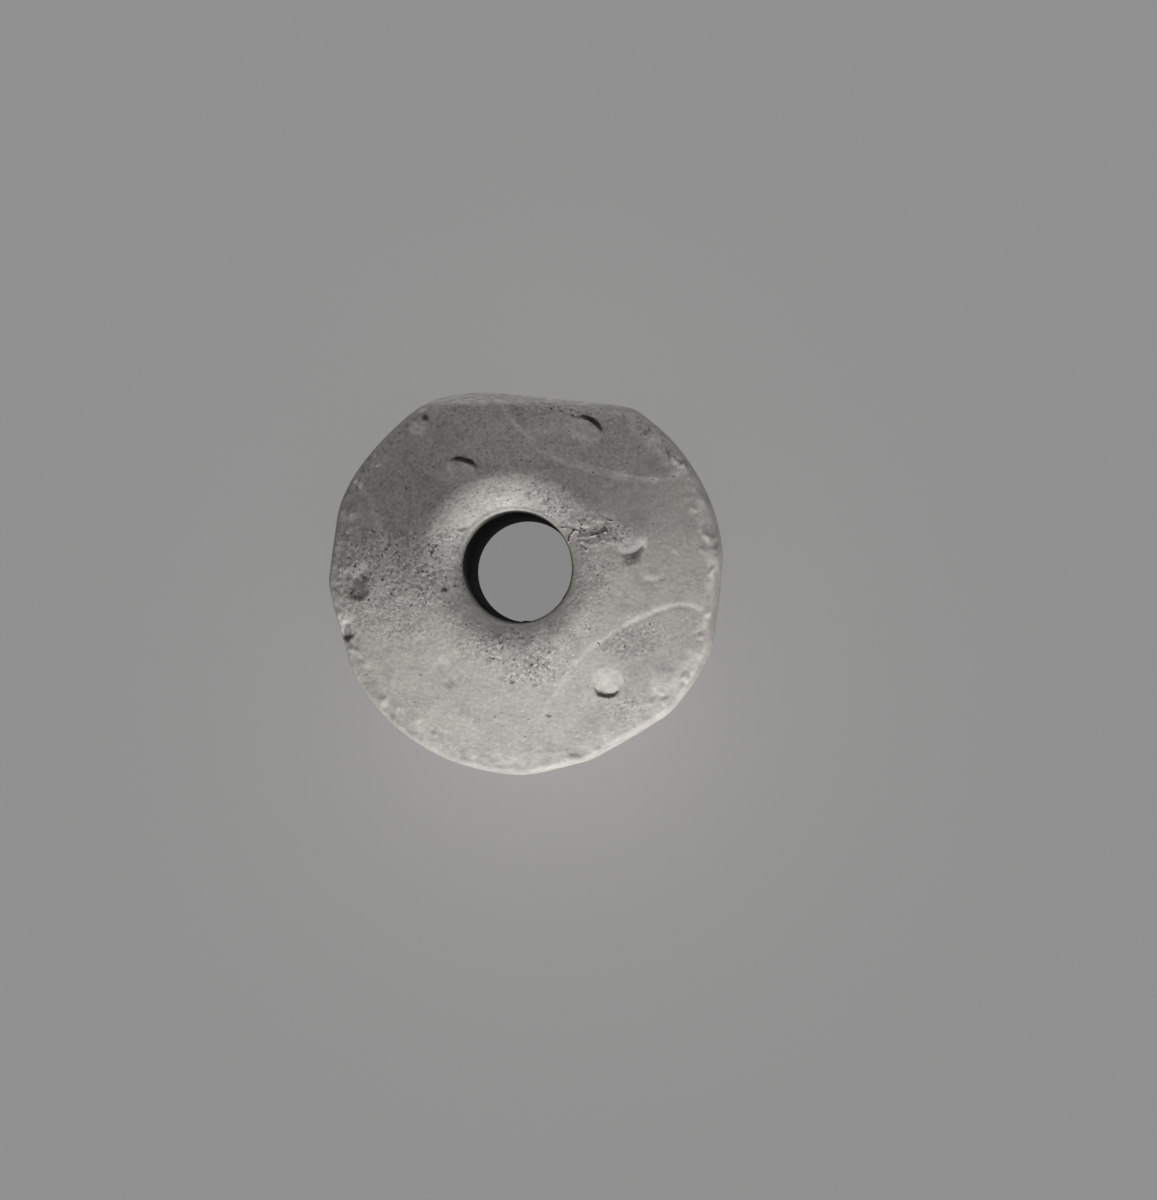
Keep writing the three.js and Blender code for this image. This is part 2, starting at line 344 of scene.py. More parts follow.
def ring_recipes():
    """All rings of the skin, from the foot of the bore up it and back down the outside."""
    bore_foot = BORE_BASE_RADIUS + BASE_CHAMFER
    rings = [bore_ring(bore_foot, 0)]
    for t in np.linspace(0, 1, BORE_RINGS):
        radius = between(BORE_BASE_RADIUS, BORE_TOP_RADIUS, t)
        rings.append(bore_ring(radius, between(BASE_CHAMFER, HEIGHT, t), lower=t, drop=t, mouth=t))
    for turn in np.linspace(0, math.pi / 2, LIP_RINGS)[1:]:
        rings.append(bore_ring(BORE_TOP_RADIUS, HEIGHT, widen=1 - math.cos(turn),
                               lower=1 - math.sin(turn), drop=1, mouth=1))
    for t in np.linspace(0, 1, DISH_RINGS)[1:]:
        radius = between(BORE_TOP_RADIUS, CREST_RADIUS, t)
        rings.append(bore_ring(radius, HEIGHT, crest=t, widen=1 - t, drop=(1 - t) ** 2, mouth=1 - t))
    rings += [face_ring(share) for share in np.linspace(0, FACE_END, FACE_RINGS)[1:]]
    crease = face_ring(1)
    band_top = between(crease, GIRTH_RING, BAND_START)
    band_foot = between(crease, GIRTH_RING, BAND_END)
    rings += eased_corner(face_ring(FACE_END), crease, band_top, CREASE_RINGS)[1:]
    rings += [between(crease, GIRTH_RING, t) for t in np.linspace(BAND_START, BAND_END, BAND_RINGS)[1:]]
    rings += eased_corner(band_foot, GIRTH_RING, lower_ring(LOWER_START), GIRTH_RINGS)[1:]
    rings += [lower_ring(share) for share in np.linspace(LOWER_START, 1, LOWER_RINGS)[1:]]
    edge = bore_ring(BASE_RADIUS + BASE_ROUNDING * FOOT_REACH, 0)
    rings += eased_corner(lower_ring(1), edge, bore_ring(BASE_RADIUS, 0), FOOT_RINGS)[1:]
    rings += [bore_ring(radius, 0) for radius in np.linspace(BASE_RADIUS, bore_foot, BASE_RINGS)[1:]]
    return np.array(rings)


def recipe_mesh(recipes):
    """The recipes as points that carry them as four vectors each."""
    mesh = bpy.data.meshes.new("ring_recipes")
    mesh.from_pydata([(i, 0, 0) for i in range(len(recipes))], [], [])
    for name, columns in zip(("reach", "shift", "level", "lip"), np.split(recipes, 4, axis=1)):
        layer = mesh.attributes.new(name, "FLOAT_VECTOR", "POINT")
        layer.data.foreach_set("vector", columns.astype(np.float32).ravel())
    return mesh


def smooth_path(places, steps):
    """Points along a smooth line through places in plan, with how clear it is at each."""
    points = np.array([(*face_place(share, bearing), clear) for share, bearing, clear in places])
    ends = np.vstack([2 * points[0] - points[1], points, 2 * points[-1] - points[-2]])
    line = []
    for i in range(1, len(ends) - 2):
        p0, p1, p2, p3 = ends[i - 1:i + 3]
        for t in np.linspace(0, 1, steps, endpoint=False):
            line.append(0.5 * (2 * p1 + (p2 - p0) * t + (2 * p0 - 5 * p1 + 4 * p2 - p3) * t * t
                               + (3 * p1 - p0 - 3 * p2 + p3) * t ** 3))
    line.append(ends[-2])
    return np.array(line)


def arc_lines():
    """The three arcs as edges lying on the face, in plan millimetres."""
    points = []
    edges = []
    clear = []
    for places in ARCS:
        start = len(points)
        for x, y, strength in smooth_path(places, ARC_STEPS):
            points.append((x, y, face_height(x, y)))
            clear.append(strength)
        edges += [(i, i + 1) for i in range(start, len(points) - 1)]
    mesh = bpy.data.meshes.new("arc_lines")
    mesh.from_pydata(points, edges, [])
    mesh.attributes.new("clear", "FLOAT", "POINT").data.foreach_set("value", clear)
    return place(mesh, "arc_lines")


def rim_nodes(tree, angle, up, girth, inset, blend):
    """The worn rim's reach at an angle, at the girth (up 0) or at the shoulder (up 1)."""
    reach = girth
    for bearing, depth, lean in WORN_FLATS:
        swing = sum_of(tree, "COSINE", sum_of(tree, "SUBTRACT", angle, math.radians(bearing)))
        turn = sum_of(tree, "MAXIMUM", swing, FLAT_SPREAD)
        flat = sum_of(tree, "DIVIDE", sum_of(tree, "SUBTRACT", girth, depth + lean * up), turn)
        reach = sum_of(tree, "SMOOTH_MIN", reach, flat, blend)
    worn_side = facing_nodes(tree, angle, SHOULDER_WEAR_BEARING)
    width = times(tree, inset, sum_of(tree, "MULTIPLY_ADD", worn_side, -SHOULDER_WEAR, 1.0))
    return sum_of(tree, "SUBTRACT", reach, times(tree, width, float(up)))


def facing_nodes(tree, angle, bearing):
    """How much an angle faces a bearing: 1 towards it and 0 away from it."""
    swing = sum_of(tree, "COSINE", sum_of(tree, "SUBTRACT", angle, math.radians(bearing)))
    return sum_of(tree, "MULTIPLY_ADD", swing, 0.5, 0.5)


def skin_tree():
    """Geometry nodes that wrap the ring recipes round the bore and cut the arcs."""
    tree = new_tree("whorl_skin", [
        ("Spokes", "Int", SPOKES),
        ("Rings", "Int", None),
        ("Girth Radius", "Float", GIRTH_RADIUS),
        ("Shoulder Inset", "Float", SHOULDER_INSET),
        ("Flat Blend", "Float", FLAT_BLEND),
        ("Crest Offset", "Vector", (*CREST_OFFSET, 0)),
        ("Height", "Float", HEIGHT),
        ("Crest Radius", "Float", CREST_RADIUS),
        ("Crest Rounding", "Float", CREST_ROUNDING),
        ("Face Fall", "Float", math.tan(math.radians(FACE_SLOPE))),
        ("Dish Depth", "Float", DISH_DEPTH - DISH_SHALLOWEST),
        ("Least Drop", "Float", DISH_SHALLOWEST),
        ("Dish Sharpness", "Float", DISH_SHARPNESS),
        ("Lip Rounding", "Float", LIP_ROUNDING),
        ("Lip Wear", "Float", LIP_WEAR),
        ("Lip Overhang", "Float", LIP_OVERHANG),
        ("Arc Lines", "Object", None),
        ("Arc Half Width", "Float", ARC_WIDTH / 2),
        ("Arc Depth", "Float", ARC_DEPTH),
        ("Clay", "Material", None),
    ])
    given = tree.nodes.new("NodeGroupInput").outputs
    columns = sum_of(tree, "ADD", given["Spokes"], 1.0)
    grid = add(tree, "GeometryNodeMeshGrid", Vertices_X=columns, Vertices_Y=given["Rings"])
    index = tree.nodes.new("GeometryNodeInputIndex").outputs[0]
    spoke = sum_of(tree, "DIVIDE", sum_of(tree, "ADD", index, 0.5), given["Rings"])
    spoke = sum_of(tree, "FLOOR", spoke)
    ring = sum_of(tree, "SUBTRACT", index, times(tree, spoke, given["Rings"]))
    angle = sum_of(tree, "DIVIDE", times(tree, spoke, 2 * math.pi), given["Spokes"])

    def recipe(name):
        field = add(tree, "GeometryNodeInputNamedAttribute", {"data_type": "FLOAT_VECTOR"}, Name=name)
        sample = add(tree, "GeometryNodeSampleIndex", {"data_type": "FLOAT_VECTOR"},
                     Geometry=given["Geometry"], Value=field.outputs[0], Index=ring)
        return add(tree, "ShaderNodeSeparateXYZ", i0=sample.outputs[0]).outputs

    own, shoulder_share, girth_share = recipe("reach")
    shift = recipe("shift")
    height, on_face, _ = recipe("level")
    widen, lower, drop = recipe("lip")
    wear = sum_of(tree, "POWER", facing_nodes(tree, angle, LIP_WEAR_BEARING), 2.0)
    rounding = sum_of(tree, "MULTIPLY_ADD", wear, given["Lip Wear"], given["Lip Rounding"])
    overhang = times(tree, wear, given["Lip Overhang"])
    lip_drop = sum_of(tree, "POWER", facing_nodes(tree, angle, DISH_BEARING), given["Dish Sharpness"])
    lip_drop = sum_of(tree, "MULTIPLY_ADD", lip_drop, given["Dish Depth"], given["Least Drop"])
    rims = [rim_nodes(tree, angle, up, given["Girth Radius"], given["Shoulder Inset"],
                      given["Flat Blend"]) for up in (0, 1)]
    reach = sum_of(tree, "MULTIPLY_ADD", rims[1], shoulder_share, own)
    reach = sum_of(tree, "MULTIPLY_ADD", rims[0], girth_share, reach)
    reach = sum_of(tree, "MULTIPLY_ADD", rounding, widen, reach)
    reach = sum_of(tree, "SUBTRACT", reach, times(tree, overhang, shift[2]))
    reach = sum_of(tree, "MINIMUM", reach, rims[0])
    crest = add(tree, "ShaderNodeSeparateXYZ", i0=given["Crest Offset"]).outputs
    plan = [sum_of(tree, "MULTIPLY_ADD", reach, sum_of(tree, operation, angle), offset)
            for operation, offset in (("COSINE", shift[0]), ("SINE", shift[1]))]
    away = [sum_of(tree, "SUBTRACT", plan[0], crest[0]), sum_of(tree, "SUBTRACT", plan[1], crest[1])]
    squares = sum_of(tree, "MULTIPLY_ADD", away[0], away[0], times(tree, away[1], away[1]))
    out = sum_of(tree, "SUBTRACT", sum_of(tree, "SQRT", squares), given["Crest Radius"])
    out = sum_of(tree, "MAXIMUM", out, 0.0)
    ease = given["Crest Rounding"]
    slant = sum_of(tree, "SQRT", sum_of(tree, "MULTIPLY_ADD", out, out, times(tree, ease, ease)))
    fall = times(tree, sum_of(tree, "SUBTRACT", slant, ease), given["Face Fall"])
    face = sum_of(tree, "SUBTRACT", given["Height"], fall)
    level = sum_of(tree, "MULTIPLY_ADD", face, on_face, height)
    level = sum_of(tree, "SUBTRACT", level, times(tree, rounding, lower))
    level = sum_of(tree, "SUBTRACT", level, times(tree, lip_drop, drop))
    place_at = add(tree, "ShaderNodeCombineXYZ", X=plan[0], Y=plan[1], Z=level)
    wrapped = add(tree, "GeometryNodeSetPosition", Geometry=grid.outputs["Mesh"],
                  Position=place_at.outputs[0])
    closed = add(tree, "GeometryNodeMergeByDistance", Geometry=wrapped.outputs[0],
                 Distance=MERGE_DISTANCE)

    lines = add(tree, "GeometryNodeObjectInfo", Object=given["Arc Lines"])
    near = add(tree, "GeometryNodeProximity", {"target_element": "EDGES"}, i0=lines.outputs["Geometry"])
    gap = sum_of(tree, "DIVIDE", near.outputs["Distance"], given["Arc Half Width"])
    kept = add(tree, "GeometryNodeStoreNamedAttribute", {"data_type": "FLOAT", "domain": "POINT"},
               Geometry=closed.outputs[0], Name="arc_gap", Value=gap)
    nearest = add(tree, "GeometryNodeSampleNearest", {"domain": "POINT"}, i0=lines.outputs["Geometry"])
    clearness = add(tree, "GeometryNodeInputNamedAttribute", {"data_type": "FLOAT"}, Name="clear")
    clear = add(tree, "GeometryNodeSampleIndex", {"data_type": "FLOAT"},
                Geometry=lines.outputs["Geometry"], Value=clearness.outputs[0],
                Index=nearest.outputs[0]).outputs[0]
    kept = add(tree, "GeometryNodeStoreNamedAttribute", {"data_type": "FLOAT", "domain": "POINT"},
               Geometry=kept.outputs[0], Name="arc_clear", Value=clear)
    bowl = add(tree, "ShaderNodeMapRange", {"interpolation_type": "SMOOTHSTEP"},
               Value=gap, From_Min=0.0, From_Max=ARC_EASE, To_Min=-1.0, To_Max=0.0)
    push = times(tree, bowl.outputs[0], times(tree, clear, given["Arc Depth"]))
    down = add(tree, "ShaderNodeCombineXYZ", Z=push)
    cut = add(tree, "GeometryNodeSetPosition", Geometry=kept.outputs[0], Offset=down.outputs[0])
    smooth = add(tree, "GeometryNodeSetShadeSmooth", Geometry=cut.outputs[0])
    real = add(tree, "GeometryNodeRealizeInstances", Geometry=smooth.outputs[0])
    dressed = add(tree, "GeometryNodeSetMaterial", Geometry=real.outputs[0], Material=given["Clay"])
    output = tree.nodes.new("NodeGroupOutput")
    tree.links.new(dressed.outputs[0], output.inputs[0])
    return tree


def plain_skin(clay):
    """The whorl's skin with its three arcs, in plan millimetres."""
    recipes = ring_recipes()
    lines = arc_lines()
    source = place(recipe_mesh(recipes), "skin_source")
    modifier = source.modifiers.new("skin", "NODES")
    modifier.node_group = skin_tree()
    set_inputs(modifier, {"Rings": len(recipes), "Arc Lines": lines, "Clay": clay})
    mesh = finished_mesh(source, "whorl_skin")
    bpy.data.objects.remove(source)
    bpy.data.objects.remove(lines)
    return mesh


# Relief and marks


def points_of(mesh):
    flat = np.empty(len(mesh.vertices) * 3, np.float32)
    mesh.vertices.foreach_get("co", flat)
    return flat.reshape(-1, 3).astype(float)


def normals_of(mesh):
    flat = np.empty(len(mesh.vertices) * 3, np.float32)
    mesh.vertex_normals.foreach_get("vector", flat)
    return flat.reshape(-1, 3).astype(float)


def smoothstep(low, high, values):
    t = np.clip((values - low) / (high - low), 0, 1)
    return t * t * (3 - 2 * t)


def cloud(points, size, seed, octaves=3):
    """Soft noise from about -1 to 1 with features of the given size."""
    shift = Vector((seed * 17.3, seed * 9.1, seed * 4.7))
    return np.array([noise.fractal(Vector(p) / size + shift, 0.9, 2.1, octaves) for p in points])


def blot(points, spot, ragged=0.0):
    """How strongly a soft oval mark covers each point: middle, two radii, turn and softness.
    Ragged moves the mark's edge in or out at each point."""
    (x, y), along, across, turn, soft = spot
    c, s = math.cos(math.radians(turn)), math.sin(math.radians(turn))
    dx, dy = points[:, 0] - x, points[:, 1] - y
    u = (dx * c + dy * s) / along
    v = (-dx * s + dy * c) / across
    return 1 - smoothstep(1 - soft, 1 + soft, np.hypot(u, v) + ragged)


def top_side(points):
    """One on the decorated face, nought below the shoulder."""
    return smoothstep(GIRTH_HEIGHT + 0.5, GIRTH_HEIGHT + 2.5, points[:, 2])


# Rough, crumbly places: middle, radii, turn, softness, strength
ROUGH_PLACES = [
    (((-10.8, 0.3), 6.6, 3.8, 0, 0.5), 0.8),
    (((-11.5, -3.5), 5.0, 2.4, 0, 0.6), 0.4),
    (((-2.1, -6.3), 2.4, 1.2, 20, 0.5), 0.8),
    (((0.8, -7.6), 3.0, 1.8, 0, 0.5), 0.7),
    (((6.2, 0.2), 1.4, 3.6, 0, 0.5), 0.45),
    (((-2.0, 12.0), 15.0, 6.5, 0, 0.6), 0.22),
    (((-10.0, 7.0), 6.5, 4.5, 0, 0.6), 0.22),
    (((6.8, 3.8), 2.9, 1.2, -12, 0.4), 0.9),
    (((9.8, -5.9), 2.4, 1.4, 10, 0.6), 0.45),
    (((9.0, -12.0), 2.0, 1.2, 30, 0.6), 0.3),
    (((2.6, 6.4), 2.0, 1.2, -25, 0.6), 0.7),
    (((4.5, 15.2), 7.0, 1.2, -6, 0.6), 0.8),
    (((11.5, 12.3), 4.0, 0.9, -50, 0.6), 0.6),
]

# Rings round the bore: where each fades in and out, in millimetres from its axis, and strength
CRUMBLY_RING = (4.8, 6.2, 7.4, 10.2)
CRUMBLY_RING_STRENGTH = 0.3
LIMY_RING = (5.0, 5.6, 6.8, 8.8)
LIMY_RING_STRENGTH = 0.18
# The ring round the bore is drawn paler towards one bearing, where the dish faces the key light:
# painted light
LIMY_RING_LIT_SIDE = 0.04
LIMY_RING_LIT_BEARING = 120

# Worn, pale shoulder: how far the wear reaches under and over the crease, and its strength
CREASE_BELOW = 1.6
CREASE_ABOVE = 0.4
SHOULDER_LIME = 0.05
SHOULDER_PALE_EXTRA = 0.36
SHOULDER_PALE_BEARING = 5
SHOULDER_PATCHES = 0.5
# How much darker the clay is drawn along the shoulder crease on the -y side
CREASE_DARKENING = 0.14

# Painted shade on the bore wall: where it ends on the lip, and how much of it is taken off the upper
# wall at one side, as painted light where that wall is lit
BORE_SHADE_EDGE = (-0.02, 0.4)
LIT_WALL_BEARING = 200
LIT_WALL_DEPTHS = (1.5, 9.0)
LIT_WALL_SHARE = 0.75

# Pale places, mostly lime, some painted highlight on the lit walls of stabs and knocks: middle, radii,
# turn, softness, strength
PALE_AND_LIT_PLACES = [
    (((-6.1, 8.4), 1.6, 0.5, -17, 0.5), 0.35),
    (((5.0, 12.2), 1.6, 0.45, -36, 0.5), 0.5),
    # Painted highlight on the lit upper side of a stab
    (((9.6, 2.5), 1.3, 0.65, 22, 0.25), 0.75),
    (((8.7, 3.7), 1.3, 0.45, -12, 0.5), 0.4),
    (((4.7, 4.5), 0.9, 0.35, 5, 0.5), 0.5),
    (((7.5, -9.3), 1.2, 1.0, 0, 0.5), 0.3),
    # Painted highlight on the lit upper wall of a stab
    (((-14.5, 0.5), 1.1, 0.8, 20, 0.5), 1.0),
    # Painted highlight on the lit upper wall of a stab
    (((-15.9, -4.2), 0.6, 0.8, 0, 0.5), 0.9),
    # Painted highlight on the lit upper wall of a knock
    (((-6.8, -7.6), 1.0, 0.5, 30, 0.6), 0.35),
    # Painted highlight on the lit upper wall of a knock
    (((16.2, 4.3), 0.7, 0.7, 0, 0.6), 0.8),
    (((12.1, -9.8), 1.1, 0.9, 0, 0.4), 0.5),
    (((7.8, -14.1), 1.5, 0.8, 10, 0.4), 0.45),
    (((2.0, 12.8), 0.9, 0.6, 30, 0.6), 0.3),
    (((11.4, 0.0), 1.1, 0.6, 10, 0.5), 0.35),
    (((7.4, 4.7), 1.5, 0.6, -15, 0.5), 0.5),
    (((-3.2, 6.6), 3.4, 1.3, 20, 0.7), 0.2),
    (((-9.3, 13.0), 0.8, 0.6, 0, 0.5), 0.4),
    (((-13.0, -3.5), 5.0, 4.0, 0, 0.7), 0.2),
    (((12.0, 2.0), 5.5, 6.0, 0, 0.8), 0.12),
    (((12.6, 2.4), 0.55, 0.13, -8, 0.5), 0.6),
    (((13.3, 2.05), 0.4, 0.13, -38, 0.5), 0.6),
    (((14.2, 2.9), 0.12, 0.5, 8, 0.5), 0.5),
    (((15.9, 7.6), 0.14, 0.7, 20, 0.5), 0.5),
]

# Dark places, some soiling and some painted shadow on the shaded walls of stabs and knocks: middle,
# radii, turn, softness, strength
DARK_AND_SHADED_PLACES = [
    (((-14.3, -0.95), 0.7, 1.3, -25, 0.35), 0.6),
    (((-16.3, 5.0), 1.1, 4.0, 15, 0.8), 0.1),
    # Painted shadow on the far wall of a stab
    (((-15.6, -5.25), 0.4, 0.8, 0, 0.4), 0.7),
    # Painted shadow on the lower wall of a knock
    (((-6.35, -9.6), 0.5, 0.4, 0, 0.7), 0.35),
    # Painted shadow on the far wall of a stab
    (((9.75, 1.3), 0.95, 0.42, 20, 0.4), 0.6),
    (((0.9, 5.9), 1.5, 1.0, -20, 0.7), 0.1),
    # Painted shadow in the hollow of a shallow stab
    (((-8.65, 13.85), 0.26, 0.22, 0, 0.5), 0.9),
    (((14.0, 9.9), 0.4, 0.3, 0, 0.6), 0.7),
    # Painted shadow on the lower wall of a knock
    (((16.7, 2.9), 0.4, 0.7, 0, 0.5), 0.6),
    (((11.4, -0.6), 1.0, 0.18, 8, 0.6), 0.4),
    (((-6.7, -1.35), 0.3, 0.16, -10, 0.5), 0.95),
    (((-5.2, 3.95), 0.36, 0.18, 10, 0.5), 0.8),
    (((2.25, -12.4), 0.28, 0.14, -10, 0.5), 0.8),
    (((-0.85, -9.45), 0.2, 0.16, 0, 0.5), 0.7),
    (((-0.4, 14.2), 1.1, 0.5, -60, 0.8), 0.22),
    (((0.5, -7.4), 2.0, 1.3, 0, 0.8), 0.14),
    (((9.6, -6.2), 2.0, 1.1, 15, 0.8), 0.17),
    (((-11.0, 7.0), 5.5, 5.0, 0, 0.7), 0.04),
]


def marked(points, places):
    """How strongly the strongest of the ragged marks covers each point of the face."""
    total = np.zeros(len(points))
    ragged = 0.45 * cloud(points, 0.9, seed=15)
    for spot, strength in places:
        total = np.maximum(total, blot(points, spot, ragged) * strength)
    return total * top_side(points)


def from_bore(points):
    return np.hypot(points[:, 0] - BORE_OFFSET[0], points[:, 1] - BORE_OFFSET[1])


def facing(points, bearing):
    """How much each point lies towards a bearing from the bore: 1 at it and 0 opposite."""
    own = np.arctan2(points[:, 1] - BORE_OFFSET[1], points[:, 0] - BORE_OFFSET[0])
    return 0.5 + 0.5 * np.cos(own - math.radians(bearing))


def ring_round_bore(points, fades):
    """How fully each point of the face lies in a ring round the bore."""
    starts, full, weaker, ends = fades
    away = from_bore(points)
    return smoothstep(starts, full, away) * (1 - smoothstep(weaker, ends, away)) * top_side(points)


def past_wall(points):
    """How far out over the rounded lip each point lies, from 0 at the bore wall to 1."""
    wear = facing(points, LIP_WEAR_BEARING) ** 2
    mouth = BORE_TOP_RADIUS - LIP_OVERHANG * wear
    return (from_bore(points) - mouth) / (LIP_ROUNDING + LIP_WEAR * wear)


def crumbly(points):
    """How rough and granular the surface is at each point."""
    ring = ring_round_bore(points, CRUMBLY_RING) * CRUMBLY_RING_STRENGTH
    broken = 1 + 0.5 * cloud(points, 1.6, seed=3)
    return np.clip(np.maximum(marked(points, ROUGH_PLACES), ring) * broken, 0, 1)


def line_gap(points, line):
    """Distance in plan from each point to a bent line."""
    gap = np.full(len(points), 99.0)
    for start, end in zip(np.array(line[:-1]), np.array(line[1:])):
        run = end - start
        share = np.clip(((points[:, :2] - start) @ run) / (run @ run), 0, 1)
        gap = np.minimum(gap, np.hypot(*(points[:, :2] - start - share[:, None] * run).T))
    return gap


def nearest_gap(points, lines):
    return np.min([line_gap(points, line) for line in lines], axis=0)


def flake_edge(points):
    """How near each point lies to a raised edge of the flaked layers."""
    gap = nearest_gap(points, FLAKE_EDGES) + 0.06 * cloud(points, 0.5, seed=17, octaves=2)
    return (1 - smoothstep(0.03, 0.16, gap)) * top_side(points)


def crack_gap(points):
    """Ragged distance to the nearest crack, up to a millimetre."""
    gap = nearest_gap(points, CRACKS) + 0.07 * cloud(points, 0.45, seed=8, octaves=2)
    return np.where(points[:, 2] > HEIGHT - 4, np.clip(gap, 0, 1), 1)


def flaking(points):
    """Stepped edges of the thin layers by the bore mouth."""
    layers = 1.6 * cloud(points * np.array([0.6, 1.3, 1.0]), 1.7, seed=6)
    steps = np.floor(layers) + smoothstep(0.6, 1.0, layers - np.floor(layers))
    return steps * blot(points, FLAKED) * top_side(points)


def roughen(mesh):
    """Hand-made unevenness, crumbly patches, flakes, knocks and cracks, with the base left flat."""
    points = points_of(mesh)
    free = smoothstep(0.0, 1.5, points[:, 2])
    lift = cloud(points, 9.0, seed=1, octaves=2) * WAVE_HEIGHT
    lift += cloud(points, 2.6, seed=2, octaves=2) * DENT_HEIGHT
    crumbs = cloud(points, 0.55, seed=4, octaves=4)
    pits = smoothstep(0.3, 0.6, crumbs)
    lift += crumbly(points) * (crumbs * CRUMB_HEIGHT - pits * CRUMB_PIT_DEPTH)
    rim = np.exp(-((points[:, 2] - shoulder_height(points)) / RIM_BREADTH) ** 2)
    rim = rim * (1 + FAR_RIM_EXTRA * smoothstep(2, 12, points[:, 1]))
    chips = smoothstep(0.25, 0.7, cloud(points, 1.3, seed=11))
    lift -= rim * (chips * RIM_CHIP_DEPTH + RIM_WEAR_DEPTH * cloud(points, 0.6, seed=12))
    lift += flaking(points) * FLAKE_STEP
    lift -= (1 - smoothstep(0.0, CRACK_HALF_WIDTH, crack_gap(points))) * CRACK_DEPTH
    lift += flake_edge(points) * FLAKE_EDGE_HEIGHT
    ragged = 0.2 * cloud(points, 0.6, seed=13, octaves=2)
    for (x, y), radius, depth in KNOCKS:
        reach = np.hypot(points[:, 0] - x, points[:, 1] - y) / radius + ragged
        lift -= depth * (1 - smoothstep(0.2, 1.0, reach)) * top_side(points)
    points += normals_of(mesh) * (lift * free)[:, None]
    mesh.vertices.foreach_set("co", points.astype(np.float32).ravel())
    mesh.update()


def shoulder_height(points):
    """Height of the shoulder crease along each point's bearing."""
    away = np.hypot(points[:, 0], points[:, 1])
    share = (GIRTH_RADIUS - SHOULDER_INSET - 0.4) / np.maximum(away, 1)
    return face_height(points[:, 0] * share, points[:, 1] * share)


def stab_reach(points, stab):
    """Place of each point within a stab: along its lean, and out from its middle, in radii."""
    share, bearing, towards, width, stretch = stab[:5]
    x, y = face_place(share, bearing)
    c, s = math.cos(math.radians(towards)), math.sin(math.radians(towards))
    dx, dy = (points[:, 0] - x) * 2 / width, (points[:, 1] - y) * 2 / width
    along = (dx * c + dy * s) / stretch
    return along, np.hypot(along, dy * c - dx * s) * (1 + 0.09 * cloud(points, 0.7, seed=9))


def press_stabs(mesh):
    """Press the slanting stick end into the face at each stab."""
    points = points_of(mesh)
    top = points[:, 2] > GIRTH_HEIGHT + 1
    for stab in STABS:
        share, bearing, _, width, _, depth, _ = stab
        x, y = face_place(share, bearing)
        near = top & (np.hypot(points[:, 0] - x, points[:, 1] - y) < width)
        local = points[near]
        along, reach = stab_reach(local, stab)
        floor = face_height(local[:, 0], local[:, 1]) + STAB_RAISE
        floor -= (depth + STAB_RAISE) * np.clip((along + 1) / 2, 0, 1) ** STAB_BEND
        floor += np.maximum(reach - 1, 0) * width / 2 * STAB_WALL
        floor += STAB_UNEVENNESS * cloud(local, 0.6, seed=10, octaves=2)
        overlap = np.maximum(STAB_EASE - np.abs(local[:, 2] - floor), 0) / STAB_EASE
        points[near, 2] = np.minimum(local[:, 2], floor) - overlap ** 2 * STAB_EASE / 4
    mesh.vertices.foreach_set("co", points.astype(np.float32).ravel())
    mesh.update()


def read(mesh, name):
    values = np.empty(len(mesh.vertices), np.float32)
    mesh.attributes[name].data.foreach_get("value", values)
    return values


def store(mesh, name, values):
    layer = mesh.attributes.new(name, "FLOAT", "POINT")
    layer.data.foreach_set("value", np.clip(values, 0, 1).astype(np.float32))


def stab_marks(points):
    """The pale floors and near lips of the stabs, lime with painted highlight, and the grime with
    painted shadow on their steep far walls.
    """
    pale = np.zeros(len(points))
    grime_and_shadow = np.zeros(len(points))
    for stab in STABS:
        mark_strength = stab[-1]
        along, reach = stab_reach(points, stab)
        floor = 1 - smoothstep(0.95, 1.15, reach)
        lip = np.exp(-((reach - 1) / 0.16) ** 2) * (1 - smoothstep(-0.5, 0.35, along))
        wall = smoothstep(0.5, 0.85, reach) * (1 - smoothstep(1.0, 1.25, reach))
        wall = wall * smoothstep(0.45, 0.8, along)
        # Lime with painted highlight on the floor and near lip
        pale = np.maximum(pale, np.maximum(floor * STAB_FLOOR_LIME_AND_HIGHLIGHT, lip * STAB_LIP_LIME_AND_HIGHLIGHT) * mark_strength)
        # Soil with painted shadow on the far wall
        grime_and_shadow = np.maximum(grime_and_shadow, wall * mark_strength)
    return pale * top_side(points), grime_and_shadow * top_side(points)


def near_crease(points):
    """How near each point lies to the shoulder crease."""
    below = shoulder_height(points) - points[:, 2]
    return np.exp(-(below / np.where(below > 0, CREASE_BELOW, CREASE_ABOVE)) ** 2)


